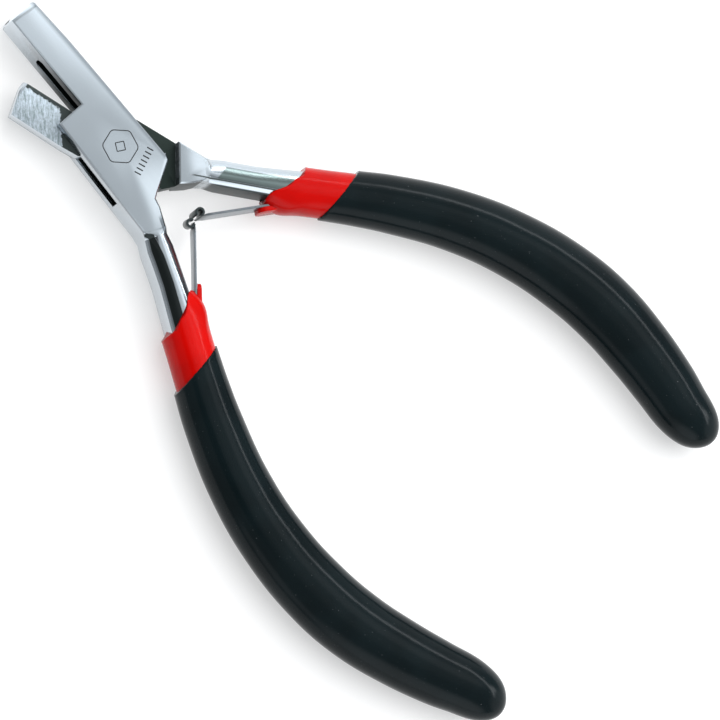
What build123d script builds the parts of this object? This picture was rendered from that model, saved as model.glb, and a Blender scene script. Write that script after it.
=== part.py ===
"""Small box-joint crimping pliers with a slotted jaw, a thin blade jaw, return springs and dipped grips.

The pliers lie flat in the XY plane. +X points to the jaw tips and +Z up along the pivot. The origin is on
the pivot's axis, on the underside of the box joint. The outer half is the one whose box is slotted: its jaw
lies at -Y and its handle at +Y. The inner half passes through the slot: its jaw lies at +Y and its handle
at -Y. The pose is the open one, with the two return springs tip to tip.
"""

import os
from math import atan2, cos, degrees, hypot, radians, sin, tan

from build123d import *

# Driving dimensions, in millimetres and degrees.
JOINT_THICKNESS = 7.8
HANDLE_LENGTH = 105.6  # from the pivot's axis to the ends of the grips
HANDLE_SPREAD = 33.8  # from the tool's centre line to a grip's centre line at its widest
CLOSING_ANGLE = 20.5

# Box joint.
BOX_FRONT_X = 9.6
BOX_FRONT_SLANT = 0.7
BOX_FRONT_Y = 3.55
BOX_SIDE_SLOPE = 0.213
BOX_SIDE_END_X = -11.2
BOX_CROTCH = ((-10.9, 3.1), (-9.5, 2.5), (-9.1, 1.6))  # hollow between the shank and the rear of the box
BOX_HEEL = ((-7.1, -3.8), (-6.05, -4.35), (-6.0, -4.15))  # rear corner on the side of the other handle
PIN_RADIUS = 2.2
PIN_CLEARANCE = 0.05
WEB_THICKNESS = 3.0
WEB_CLEARANCE = 0.06
WINDOW_END_X = -5.0
WINDOW_OVERRUN = 0.4
SLOT_OPEN_Y = 11.0  # beyond the box on either side
SLOT_BEND_X = 6.3  # where the floor leaves the blade's path and runs to the box's open side
SLOT_NECK_SIDE = ((1.6, -5.2), (1.6, -11.0), (-10.0, -11.0), (-14.0, 0.5))
SLOT_REAR = ((-12.6, 3.7), (-9.4, 3.7), (-8.6, 4.1))
EDGE_BEVEL = 0.25

# Outer jaw: long, full thickness, with a slot that takes the blade.
OUTER_JAW_LENGTH = 27.1
OUTER_JAW_ANGLE = 10.0
OUTER_JAW_FACE_OFFSET = 0.32
OUTER_JAW_TIP_HEIGHT = 4.85
CHEEK_PLACE = 0.27  # share of the way from the tip to the heel
CHEEK_BULGE = 0.25
TIP_ROLL_RADIUS = 1.2
TIP_CORNER_RADIUS = 0.6

# Inner jaw: a short thin blade.
BLADE_LENGTH = 18.65
BLADE_ANGLE = 8.5
BLADE_EDGE_OFFSET = 1.39
BLADE_HEIGHT = 5.7
BLADE_TIP_CHAMFER = 0.7
BLADE_TIP_LEAN = 0.1
BLADE_TOE_SETBACK = 1.0
BLADE_HEEL_X = 6.5
SLOT_END_CLEARANCE = 0.35
SLOT_FLOOR_CLEARANCE = 0.2
SLOT_END_RADIUS = 1.1

# Web, from the blade's back round the pin to the blade's heel.
WEB_BACK = ((7.3, 5.55), (4.3, 4.95), (3.5, 4.3), (3.0, 3.5), (0.8, 3.75), (-2.2, 3.6), (-4.6, 2.4))
WEB_NECK = ((-5.6, 0.9), (-9.5, 0.0), (-10.9, -1.9), (-12.0, -5.0), (-6.5, -7.25), (0.8, -6.0), (1.0, -5.2))
STEP_OUTER_END = (-6.5, -7.25)
STEP_INNER_END = (-10.9, -1.95)
STEP_REAR = (-12.6, -3.6)  # between the step's inner end and the shank

# Shank and tang, the steel part of a handle.
SHANK_START = (-12.55, 6.5)
SHANK_SHOULDER = (-13.5, 7.1)
SHANK_BARE = (-15.2, 8.1)
SHANK_WAIST = (-20.2, 11.1)
SHANK_MOUTH = (-25.8, 14.8)
SHANK_START_WIDTH = 3.8
SHANK_WIDTH = 4.3
SHANK_MOUTH_WIDTH = 4.8
TANG_WIDTH = 6.4
TANG_THICKNESS = 6.6
LOWER_BEVEL = (0.7, 0.65)  # width and depth of the outer side's steep bevel
UPPER_BEVEL = (1.15, 0.43)  # width and depth of the flatter bevel over it
HAND_BEVEL = (0.95, 0.85)
SHANK_CROWN = 0.12
START_SHARE = 0.04  # how much of the bevels is there at the very start of the shank

# Dipped coats.
SLEEVE_MOUTH_X = -25.2
GRIP_MOUTH_X = -32.4
SLEEVE_COAT = 0.9
SLEEVE_MOUTH_COAT = 0.5
GRIP_END_COAT = 2.6
GRIP_END_Y = 28.75
GRIP_WIDTH = 11.5
GRIP_THICKNESS = 10.4
COAT_LEAD = (4.0, -2.9)  # from the mouth to the first section, which lies in front of every dip line
COAT_SHIFT = (0.27, -0.45)  # from the steel's centre line to the coat's at the mouth
COAT_ROUNDING = 0.42
DOME_SHARES = (0.6, 0.88, 1.0)

# Return springs.
LEAF_THICKNESS = 0.45
LEAF_WIDTH = 3.6
LEAF_SEAT_GAP = 0.05
CURL_RADIUS = 0.72
CURL_GAP = 0.04
CURL_X = -16.5
LEAF_MEETS_CURL = (-0.45, 0.35)
FOOT_SETBACK = 1.6
FOOT_WIDENING = 0.25
RIVET_PLACE = 0.6  # share of the way along the foot
RIVET_RADIUS = 0.75
RIVET_HEAD_RADIUS = 1.15
RIVET_HEAD_HEIGHT = 0.45
RIVET_DEPTH = 2.4

MID_Z = JOINT_THICKNESS / 2
OUTER_SIDE = 1
INNER_SIDE = -1


def at_side(points, side):
    """Points for the handle on the +Y side, mirrored for the other half."""
    return [(x, side * y) for x, y in points]


def slab(points, thickness):
    """A closed outline extruded about the middle of the joint's thickness."""
    outline = make_face(Polyline(*points, close=True))
    return Pos(0, 0, MID_Z - thickness / 2) * extrude(outline, thickness)


def jaw_face_y(x):
    """Height of the outer jaw's working face over the tool's centre line."""
    return OUTER_JAW_FACE_OFFSET - tan(radians(OUTER_JAW_ANGLE)) * x


def blade_edge_y(x):
    """Height of the blade's crimping edge over the tool's centre line, with the pliers open."""
    return tan(radians(BLADE_ANGLE)) * x - BLADE_EDGE_OFFSET / cos(radians(BLADE_ANGLE))


def slot_floor_y(x):
    """The slot's floor: where the blade's edge comes when closed, and its clearance."""
    closed = radians(CLOSING_ANGLE - BLADE_ANGLE)
    return -tan(closed) * x - (BLADE_EDGE_OFFSET + SLOT_FLOOR_CLEARANCE) / cos(closed)


def box_side_y(x):
    """The box's side edge on the side of the outer half's own handle."""
    return BOX_FRONT_Y + BOX_SIDE_SLOPE * (BOX_FRONT_X - x)


def beveled(body, side):
    """The edges of both flat faces, broken by a small bevel, apart from the line where the shank starts."""
    x, y = SHANK_START
    edges = body.faces().sort_by(Axis.Z)[-1].outer_wire().edges()
    edges += body.faces().sort_by(Axis.Z)[0].outer_wire().edges()
    broken = [edge for edge in edges if hypot(edge.center().X - x, edge.center().Y - side * y) > 1]
    return chamfer(broken, EDGE_BEVEL)


# ---------------------------------------------------------------- handles

def handle_points(shares):
    """Stations of a handle beyond the mouth of its sleeve, from shares of its length and of its spread."""
    mouth_x, mouth_y = SHANK_MOUTH
    run = HANDLE_LENGTH + mouth_x
    rise = HANDLE_SPREAD - mouth_y
    return [(mouth_x - run * along, mouth_y + rise * up) for along, up in shares]


def section_planes(points, side):
    """A plane square to the handle at each station: local X points away from the hand, local Y up."""
    planes = []
    for index, (x, y) in enumerate(points):
        before = points[max(index - 1, 0)]
        after = points[min(index + 1, len(points) - 1)]
        heading = (after[0] - before[0], after[1] - before[1])
        away = (heading[1], -heading[0]) if side > 0 else (heading[1], heading[0])
        planes.append(
            Plane(
                origin=(x, side * y, MID_Z),
                x_dir=(away[0], away[1], 0),
                z_dir=Vector(away[0], away[1], 0).cross(Vector(0, 0, 1)),
            )
        )
    return planes


STEEL_SHARES = ((0.10, 0.27), (0.24, 0.615), (0.42, 0.905), (0.61, 1.0), (0.79, 0.90), (0.93, 0.75))
TANG_SHARES = (0.3, 0.75, 1.0, 1.0, 0.95, 0.7)
COAT_SHARES = ((0.10, 0.25), (0.24, 0.61), (0.42, 0.90), (0.61, 1.0), (0.79, 0.89), (0.93, 0.755))
SLEEVE_WIDTH_SHARES = (0.93, 0.93, 0.99, 1.03, 1.03, 1.03, 1.0, 0.9, 0.78, 0.52, 0.26)
SLEEVE_THICKNESS_SHARES = (1.0, 1.0, 1.0, 0.98, 0.94, 0.8, 0.54, 0.28)  # behind the widening at the mouth
GRIP_WIDTH_SHARES = (0.6, 0.64, 0.75, 0.865, 0.955, 1.0, 0.965, 0.85, 0.73, 0.47, 0.2)
GRIP_THICKNESS_SHARES = (0.86, 0.88, 0.92, 0.97, 1.0, 1.0, 0.98, 0.9, 0.78, 0.5, 0.22)


def rounded_run(stations, steps=2):
    """Stations with more between them, on the smooth Catmull-Rom curve through them all."""
    run = []
    last = len(stations) - 1
    for index in range(last):
        a = stations[max(index - 1, 0)]
        b = stations[index]
        c = stations[index + 1]
        d = stations[min(index + 2, last)]
        for step in range(steps):
            t = step / steps
            run.append([catmull_rom(t, *values) for values in zip(a, b, c, d)])
    return run + [list(stations[-1])]


def catmull_rom(t, a, b, c, d):
    """The smooth value at share t of the way from b to c, with neighbours a and d."""
    return b + 0.5 * t * (c - a + t * (2 * a - 5 * b + 4 * c - d + t * (3 * (b - c) + d - a)))


def steel_section(plane, width, thickness, share):
    """A forged shank's section: flat sides, a crown, and two bevels away from the hand and one beside it."""
    half, top = width / 2, thickness / 2
    steep_width, steep_depth = (share * size for size in LOWER_BEVEL)
    flat_width, flat_depth = (share * size for size in UPPER_BEVEL)
    hand_width, hand_depth = (share * size for size in HAND_BEVEL)
    crown = share * SHANK_CROWN
    outer = [
        (half, top - crown - flat_depth - steep_depth),
        (half - steep_width, top - crown - flat_depth),
        (half - steep_width - flat_width, top - crown),
    ]
    inner = [(hand_width - half, top - crown), (-half, top - crown - hand_depth)]
    crest = ((outer[-1][0] + inner[0][0]) / 2, top)
    outer_below = [(x, -y) for x, y in reversed(outer)]
    inner_below = [(x, -y) for x, y in reversed(inner)]
    with BuildSketch(plane) as section:
        with BuildLine():
            Polyline(*outer)
            ThreePointArc(outer[-1], crest, inner[0])
            Polyline(*inner, *inner_below)
            ThreePointArc(inner_below[-1], (crest[0], -top), outer_below[0])
            Polyline(*outer_below, outer[0])
        make_face()
    return section.sketch


def steel_stations():
    """Place, width and thickness of the steel along a handle, from the box to the end of the tang."""
    bare = [SHANK_BARE, SHANK_WAIST, SHANK_MOUTH]
    widths = [SHANK_WIDTH, SHANK_WIDTH, SHANK_MOUTH_WIDTH]
    stations = [(x, y, width, JOINT_THICKNESS) for (x, y), width in zip(bare, widths)]
    for (x, y), share in zip(handle_points(STEEL_SHARES), TANG_SHARES):
        width = SHANK_MOUTH_WIDTH + (TANG_WIDTH - SHANK_MOUTH_WIDTH) * share
        thickness = JOINT_THICKNESS + (TANG_THICKNESS - JOINT_THICKNESS) * share
        stations.append((x, y, width, thickness))
    root = [(*place, SHANK_START_WIDTH, JOINT_THICKNESS) for place in (SHANK_START, SHANK_SHOULDER)]
    return root + rounded_run(stations)


def shank_root_corners():
    """The two ends of the line where the full-thickness plate meets the shank, on the +Y side."""
    stations = steel_stations()
    plane = section_planes([station[:2] for station in stations], OUTER_SIDE)[0]
    away = plane.x_dir * (stations[0][2] / 2)
    outside = plane.origin + away
    inside = plane.origin - away
    return (outside.X, outside.Y), (inside.X, inside.Y)


def shank_and_tang(side):
    """The bare bevelled shank and, under the coats, the tang."""
    stations = steel_stations()
    planes = section_planes([station[:2] for station in stations], side)
    shares = [START_SHARE] + [1.0] * (len(stations) - 1)
    sections = []
    for plane, (_, _, width, thickness), share in zip(planes, stations, shares):
        sections.append(steel_section(plane, width, min(thickness, JOINT_THICKNESS), share))
    return loft(sections, ruled=True)


def coat_solid(side, widths, thicknesses, end_gap):
    """A closed dip coat's outer surface: rounded sections lofted along the handle, with a domed end."""
    mouth_x, mouth_y = SHANK_MOUTH
    start = (mouth_x + COAT_SHIFT[0], mouth_y + COAT_SHIFT[1])
    lead = (start[0] + COAT_LEAD[0], start[1] + COAT_LEAD[1])
    points = [lead, start] + handle_points(COAT_SHARES)
    tip_x = -HANDLE_LENGTH + end_gap
    end_x, end_y = points[-1]
    reach = end_x - tip_x
    fall = end_y - GRIP_END_Y
    for share in DOME_SHARES:
        points.append((end_x - reach * share, end_y - fall * share))
    stations = [(*point, *sizes) for point, *sizes in zip(points, widths, thicknesses)]
    stations = rounded_run(stations)
    planes = section_planes([station[:2] for station in stations], side)
    sections = []
    for plane, (_, _, width, thickness) in zip(planes, stations):
        radius = COAT_ROUNDING * min(width, thickness)
        sections.append(plane * RectangleRounded(width, thickness, radius))
    return loft(sections, ruled=True)


def behind(x):
    """Everything on the handle side of the plane at x, where a dip's liquid level stood."""
    length = 2 * HANDLE_LENGTH
    return Pos(x - length / 2, 0, MID_Z) * Box(length, 4 * HANDLE_LENGTH, 4 * JOINT_THICKNESS)


def sleeve_envelope(side):
    """Outer surface of the first coat, with a bulge over the spring's foot."""
    body = TANG_WIDTH + 2 * SLEEVE_COAT
    widths = [body * share for share in SLEEVE_WIDTH_SHARES]
    mouth = JOINT_THICKNESS + 2 * SLEEVE_MOUTH_COAT
    tang = TANG_THICKNESS + 2 * SLEEVE_COAT
    thicknesses = [mouth, mouth, (mouth + tang) / 2]
    thicknesses += [tang * share for share in SLEEVE_THICKNESS_SHARES]
    return coat_solid(side, widths, thicknesses, GRIP_END_COAT) & behind(SLEEVE_MOUTH_X)


def grip_envelope(side):
    """Outer surface of the second coat, the one that the hand holds."""
    widths = [GRIP_WIDTH * share for share in GRIP_WIDTH_SHARES]
    thicknesses = [GRIP_THICKNESS * share for share in GRIP_THICKNESS_SHARES]
    return coat_solid(side, widths, thicknesses, 0) & behind(GRIP_MOUTH_X)


# ---------------------------------------------------------------- springs

def foot_line(side):
    """Where the spring's foot lies along the shank: its start, its end and the way to the hand."""
    start = SHANK_MOUTH
    end = handle_points(STEEL_SHARES)[0]
    heading = Vector(end[0] - start[0], end[1] - start[1], 0).normalized()
    hand = Vector(-heading.Y, heading.X, 0)
    width = SHANK_MOUTH_WIDTH + FOOT_WIDENING * (TANG_WIDTH - SHANK_MOUTH_WIDTH)
    offset = hand * (width / 2 + LEAF_SEAT_GAP + LEAF_THICKNESS / 2)
    a = Vector(start[0], start[1], 0) + heading * FOOT_SETBACK + offset
    b = Vector(end[0], end[1], 0) + offset
    return a, b, hand


def strip(points, thickness, width, side):
    """A flat strip on edge: straight runs joined by round bends."""
    body = Part()
    for a, b in zip(points, points[1:]):
        run = hypot(b[0] - a[0], b[1] - a[1])
        turn = degrees(atan2(side * (b[1] - a[1]), b[0] - a[0]))
        middle = ((a[0] + b[0]) / 2, side * (a[1] + b[1]) / 2)
        body += Pos(middle[0], middle[1], MID_Z) * Rot(0, 0, turn) * Box(run, thickness, width)
    for x, y in points[1:-1]:
        body += Pos(x, side * y, MID_Z) * Cylinder(thickness / 2, width)
    return body


def leaf_spring(side):
    """One return spring: a foot along the shank, a free leaf and a rolled tip against the other's."""
    a, b, _ = foot_line(side)
    curl_y = CURL_RADIUS + CURL_GAP / 2
    leaf_end = (CURL_X + LEAF_MEETS_CURL[0], curl_y + LEAF_MEETS_CURL[1])
    points = [(b.X, b.Y), (a.X, a.Y), leaf_end]
    body = strip(points, LEAF_THICKNESS, LEAF_WIDTH, side)
    return body + Pos(CURL_X, side * curl_y, MID_Z) * Cylinder(CURL_RADIUS, LEAF_WIDTH)


def rivet_place(side):
    """Plane on the hand side of the spring's foot, facing the hand."""
    a, b, hand = foot_line(side)
    centre = a + (b - a) * RIVET_PLACE + hand * (LEAF_THICKNESS / 2)
    return Plane(origin=(centre.X, side * centre.Y, MID_Z), z_dir=(hand.X, side * hand.Y, 0))


def spring_rivet(side):
    """A small rivet: a domed head on the foot and a shank into the steel."""
    place = rivet_place(side)
    length = LEAF_THICKNESS + LEAF_SEAT_GAP + RIVET_DEPTH
    down = (Align.CENTER, Align.CENTER, Align.MAX)
    up = (Align.CENTER, Align.CENTER, Align.MIN)
    body = place * Cylinder(RIVET_RADIUS, length, align=down)
    return body + place * Cylinder(RIVET_HEAD_RADIUS, RIVET_HEAD_HEIGHT, align=up)


# ---------------------------------------------------------------- halves

def outer_blank():
    """Jaw, box and shank root of the outer half, before the slot is cut."""
    tip = radians(OUTER_JAW_ANGLE)
    along = Vector(cos(tip), -sin(tip), 0)
    across = Vector(-sin(tip), -cos(tip), 0)
    face_foot = Vector(0, OUTER_JAW_FACE_OFFSET, 0)
    tip_inner = face_foot + along * OUTER_JAW_LENGTH
    tip_outer = tip_inner + across * OUTER_JAW_TIP_HEIGHT
    shoulder_x = BOX_FRONT_X + BOX_FRONT_SLANT / 2
    root_x = BOX_FRONT_X - BOX_FRONT_SLANT / 2
    heel = Vector(*BOX_HEEL[-1], 0)
    outside, inside = shank_root_corners()
    cheek = tip_outer + (heel - tip_outer) * CHEEK_PLACE - Vector(0, CHEEK_BULGE, 0)
    points = [
        (tip_inner.X, tip_inner.Y),
        (root_x, jaw_face_y(root_x)),
        (shoulder_x, box_side_y(shoulder_x)),
        (BOX_SIDE_END_X, box_side_y(BOX_SIDE_END_X)),
        outside,
        inside,
        *BOX_CROTCH,
        *BOX_HEEL,
        (cheek.X, cheek.Y),
        (tip_outer.X, tip_outer.Y),
    ]
    body = slab(points, JOINT_THICKNESS)
    corners = body.edges().filter_by(Axis.Z).sort_by(Axis.X)[-2:]
    body = fillet(corners, TIP_CORNER_RADIUS)
    body = beveled(body, OUTER_SIDE)
    return body & tip_roll(along, tip_inner)


def tip_roll(along, tip_inner):
    """A long block with a rolled end, which rounds the front and back faces over into the tip."""
    length = 2 * OUTER_JAW_LENGTH
    side_view = Plane(origin=(tip_inner.X, tip_inner.Y, MID_Z), x_dir=along, z_dir=(along.Y, -along.X, 0))
    profile = RectangleRounded(2 * length, JOINT_THICKNESS, TIP_ROLL_RADIUS)
    profile = Pos(-length, 0) * profile
    return extrude(side_view * profile, amount=3 * length, both=True)


def slot_cut():
    """The slot through the box and into the outer jaw, which the web and the blade swing in."""
    reach = BLADE_LENGTH + SLOT_END_CLEARANCE
    points = [
        (reach, slot_floor_y(reach)),
        (SLOT_BEND_X, slot_floor_y(SLOT_BEND_X)),
        *SLOT_NECK_SIDE,
        *SLOT_REAR,
        (WINDOW_END_X, box_side_y(WINDOW_END_X) + WINDOW_OVERRUN),
        (WINDOW_END_X, SLOT_OPEN_Y),
        (reach, SLOT_OPEN_Y),
    ]
    cut = slab(points, WEB_THICKNESS + 2 * WEB_CLEARANCE)
    return fillet(cut.edges().filter_by(Axis.Y).sort_by(Axis.X)[-4:], SLOT_END_RADIUS)


def outer_half():
    """The slotted half: one forging from its jaw tip to the end of its tang."""
    body = outer_blank() - slot_cut() + shank_and_tang(OUTER_SIDE)
    body -= Pos(0, 0, MID_Z) * Cylinder(PIN_RADIUS, 2 * JOINT_THICKNESS)
    return body - spring_rivet(OUTER_SIDE)


def web():
    """The thin middle of the inner half: blade, ring about the pin, and neck."""
    edge = radians(BLADE_ANGLE)
    along = Vector(cos(edge), sin(edge), 0)
    across = Vector(-sin(edge), cos(edge), 0)
    heel = Vector(BLADE_HEEL_X, blade_edge_y(BLADE_HEEL_X), 0)
    tip = heel + along * (BLADE_LENGTH - heel.length)
    chamfer_end = tip + across * BLADE_TIP_CHAMFER + along * BLADE_TIP_LEAN
    toe = tip + across * BLADE_HEIGHT - along * BLADE_TOE_SETBACK
    points = [
        (heel.X, heel.Y),
        (tip.X, tip.Y),
        (chamfer_end.X, chamfer_end.Y),
        (toe.X, toe.Y),
        *WEB_BACK,
        *WEB_NECK,
    ]
    body = slab(points, WEB_THICKNESS)
    middle = Vector(0, 0, MID_Z)
    flat = body.edges().filter_by(Axis.Z, reverse=True)
    tip_edges = flat.sort_by(lambda edge: (edge.center() - middle).length)[-2:]
    return fillet(tip_edges, SLOT_END_RADIUS)


def inner_shank_root():
    """The full-thickness root of the inner half's shank, behind the step to the neck."""
    corners = at_side(shank_root_corners(), INNER_SIDE)
    points = [STEP_OUTER_END, *corners, STEP_REAR, STEP_INNER_END]
    return beveled(slab(points, JOINT_THICKNESS), INNER_SIDE)


def inner_half():
    """The half that passes through the slot: blade, web and shank in one forging."""
    body = web() + inner_shank_root() + shank_and_tang(INNER_SIDE)
    body -= Pos(0, 0, MID_Z) * Cylinder(PIN_RADIUS + PIN_CLEARANCE, 2 * JOINT_THICKNESS)
    return body - spring_rivet(INNER_SIDE)


def joint_pin():
    """The hidden rivet that both halves turn on, ground flush with the box."""
    return Pos(0, 0, MID_Z) * Cylinder(PIN_RADIUS, JOINT_THICKNESS)


def write(name, body):
    """One STEP file for one piece."""
    body.label = name
    export_step(body, f"parts/{name}.step")


def main():
    os.makedirs("parts", exist_ok=True)
    halves = {"outer": (OUTER_SIDE, outer_half()), "inner": (INNER_SIDE, inner_half())}
    write("joint_pin", joint_pin())
    for name, (side, half) in halves.items():
        rivet = spring_rivet(side)
        leaf = leaf_spring(side) - rivet
        sleeve = sleeve_envelope(side)
        grip = grip_envelope(side) - sleeve
        write(f"{name}_half", half)
        write(f"leaf_spring_{name}", leaf)
        write(f"spring_rivet_{name}", rivet)
        write(f"red_sleeve_{name}", sleeve - half - leaf - rivet)
        write(f"grip_{name}", grip)


main()
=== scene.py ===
"""Box-joint crimping pliers: the finished look of every piece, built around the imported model.

The pliers lie flat, with +X to the jaw tips and +Z up along the pivot. The outer half has the slotted
box and its handle at +Y. The inner half has the thin blade and its handle at -Y.
"""

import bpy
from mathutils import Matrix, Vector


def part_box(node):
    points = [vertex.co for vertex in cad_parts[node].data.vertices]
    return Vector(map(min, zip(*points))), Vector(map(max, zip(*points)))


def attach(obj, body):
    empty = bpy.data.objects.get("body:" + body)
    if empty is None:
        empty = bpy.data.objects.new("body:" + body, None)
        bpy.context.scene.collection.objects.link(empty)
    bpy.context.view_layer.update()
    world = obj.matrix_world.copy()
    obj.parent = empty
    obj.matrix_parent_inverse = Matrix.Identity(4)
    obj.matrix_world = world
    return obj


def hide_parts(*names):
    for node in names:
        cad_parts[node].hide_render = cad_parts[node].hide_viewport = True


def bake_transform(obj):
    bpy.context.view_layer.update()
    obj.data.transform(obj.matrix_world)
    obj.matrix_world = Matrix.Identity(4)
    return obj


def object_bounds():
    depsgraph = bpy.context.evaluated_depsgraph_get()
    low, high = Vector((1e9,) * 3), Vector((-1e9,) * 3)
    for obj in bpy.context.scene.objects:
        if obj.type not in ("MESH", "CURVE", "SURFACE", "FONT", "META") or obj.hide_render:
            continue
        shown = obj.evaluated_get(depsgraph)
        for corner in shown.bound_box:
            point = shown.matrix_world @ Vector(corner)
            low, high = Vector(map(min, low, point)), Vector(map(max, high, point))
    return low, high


bl_info = {
    "name": "Crimping pliers",
    "version": (1, 0, 0),
    "blender": (4, 5, 0),
    "location": "View3D > Sidebar > Pliers",
    "description": "Builds the steel, the springs and the dipped grips of a pair of crimping pliers",
    "category": "Mesh",
}

from math import asin, atan2, cos, exp, hypot, pi, radians, sin, tan

import bmesh
import bpy
from bpy.props import FloatProperty, FloatVectorProperty, IntProperty, PointerProperty
from bpy.types import Operator, Panel, PropertyGroup
from mathutils import Matrix, Quaternion, Vector

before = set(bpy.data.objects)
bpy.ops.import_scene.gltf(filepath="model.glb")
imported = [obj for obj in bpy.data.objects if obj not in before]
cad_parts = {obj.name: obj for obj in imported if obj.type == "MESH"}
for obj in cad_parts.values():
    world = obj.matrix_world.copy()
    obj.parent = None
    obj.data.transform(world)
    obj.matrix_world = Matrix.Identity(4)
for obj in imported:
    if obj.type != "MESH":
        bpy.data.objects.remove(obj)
CAD_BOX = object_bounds()

MM = 0.001
SIDES = {"outer": 1, "inner": -1}
JOINT_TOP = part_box("joint_pin")[1].z
MID_Z = JOINT_TOP / 2
TOP = JOINT_TOP / MM
MID = MID_Z / MM
NEAR = 0.01  # in millimetres: two places closer than this are the same

# The steel's shape, in millimetres, where the finish changes along it.
WEB_HALF = 1.5
JAW_FACE_OFFSET = 0.32
JAW_FACE_SLOPE = tan(radians(10))
JAW_BACK_OFFSET = -5.08
JAW_BACK_SLOPE = 0.155
BOX_FRONT_X = 9.3
BOX_SIDE_CORNER = (9.6, 3.55)
BOX_SIDE_SLOPE = 0.213
BOX_SIDE_OFFSET = BOX_SIDE_CORNER[1] + BOX_SIDE_SLOPE * BOX_SIDE_CORNER[0]
BLADE_ANGLE = radians(8.5)
BLADE_EDGE_SLOPE = tan(BLADE_ANGLE)
BLADE_EDGE_OFFSET = 1.39 / cos(BLADE_ANGLE)
STEP_LINE = ((-6.5, -7.25), (-10.9, -1.95))
BEVEL_LINE = ((-13.06, 7.23), (-18.41, 9.6))
SHANK_AXIS = ((-15.2, 8.1), (-20.2, 11.1))
BORE_REACH = 2.5
SHARP_ANGLE = radians(28)


# ---------------------------------------------------------------- settings


class SteelSettings(PropertyGroup):
    bevel: FloatProperty(
        name="Edge bevel",
        description="Width of the polished break along the sharp steel edges",
        default=0.09 * MM,
        unit="LENGTH",
    )
    polish: FloatVectorProperty(
        name="Polished steel",
        description="Colour of the satin polished steel",
        default=(0.57, 0.62, 0.66),
        subtype="COLOR",
    )
    # Dull steel colour, which also paints shade in the slot, on the neck and along the shanks.
    oxide_and_painted_shade: FloatVectorProperty(
        name="Oxide",
        description="Colour of the dull unpolished steel in the recesses",
        default=(0.010, 0.018, 0.015),
        subtype="COLOR",
    )


class SpringSettings(PropertyGroup):
    thickness: FloatProperty(
        name="Leaf thickness",
        description="Thickness of the spring's strip",
        default=0.4 * MM,
        unit="LENGTH",
    )
    width: FloatProperty(
        name="Leaf width",
        description="Width of the spring's strip",
        default=3.5 * MM,
        unit="LENGTH",
    )
    cant: FloatProperty(
        name="Cant",
        description="How far each leaf is turned about its own length",
        default=radians(6),
        subtype="ANGLE",
    )
    curl_radius: FloatProperty(
        name="Curl radius",
        description="Outer radius of the rolled tip",
        default=0.8 * MM,
        unit="LENGTH",
    )


class DipSettings(PropertyGroup):
    red: FloatVectorProperty(
        name="First dip",
        description="Colour of the first, thin coat",
        default=(0.45, 0.002, 0.001),
        subtype="COLOR",
    )
    black: FloatVectorProperty(
        name="Second dip",
        description="Colour of the second, thick coat",
        default=(0.003, 0.006, 0.007),
        subtype="COLOR",
    )
    lip: FloatProperty(
        name="Lip radius",
        description="Rounding of a coat's edge at its dip line",
        default=0.22 * MM,
        unit="LENGTH",
    )
    red_line: FloatProperty(
        name="First dip line",
        description="Place of the first coat's edge along the tool",
        default=-25.3 * MM,
        unit="LENGTH",
    )
    black_line: FloatProperty(
        name="Second dip line",
        description="Place of the second coat's edge along the tool",
        default=-32.4 * MM,
        unit="LENGTH",
    )


class MarkSettings(PropertyGroup):
    size: FloatProperty(
        name="Mark size",
        description="Radius of the etched outline",
        default=3.1 * MM,
        unit="LENGTH",
    )
    line: FloatProperty(
        name="Line width",
        description="Width of an etched line",
        default=0.17 * MM,
        unit="LENGTH",
    )
    ticks: IntProperty(name="Ticks", description="Number of ticks under the outline", default=7)


class StageSettings(PropertyGroup):
    floor: FloatVectorProperty(
        name="Floor",
        description="Colour of the floor",
        default=(0.45, 0.45, 0.45),
        subtype="COLOR",
    )
    distance: FloatProperty(
        name="Camera distance",
        description="From the camera to the middle of the tool",
        default=0.9677,
        unit="LENGTH",
    )
    roll: FloatProperty(
        name="Camera roll",
        description="Turn of the camera about its own line of sight",
        default=radians(62),
        subtype="ANGLE",
    )


# ---------------------------------------------------------------- shader maths


class Wire:
    """A shader node's output that arithmetic can be written on."""

    def __init__(self, graph, socket):
        self.graph = graph
        self.socket = socket

    def math(self, operation, *values):
        return self.graph.node("ShaderNodeMath", {"operation": operation}, dict(enumerate(values)))

    def __add__(self, other):
        return self.math("ADD", self, other)

    def __radd__(self, other):
        return self.math("ADD", other, self)

    def __sub__(self, other):
        return self.math("SUBTRACT", self, other)

    def __rsub__(self, other):
        return self.math("SUBTRACT", other, self)

    def __mul__(self, other):
        return self.math("MULTIPLY", self, other)

    def __rmul__(self, other):
        return self.math("MULTIPLY", other, self)

    def __abs__(self):
        return self.math("ABSOLUTE", self)

    def rise(self, low, high):
        """0 below low and 1 above high, smooth between."""
        values = {"Value": self, "From Min": low, "From Max": high}
        return self.graph.node("ShaderNodeMapRange", {"interpolation_type": "SMOOTHSTEP"}, values)

    def fall(self, low, high):
        return 1 - self.rise(low, high)

    def at_least(self, other):
        """The greater of this and another value."""
        return self.math("MAXIMUM", self, other)


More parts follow.
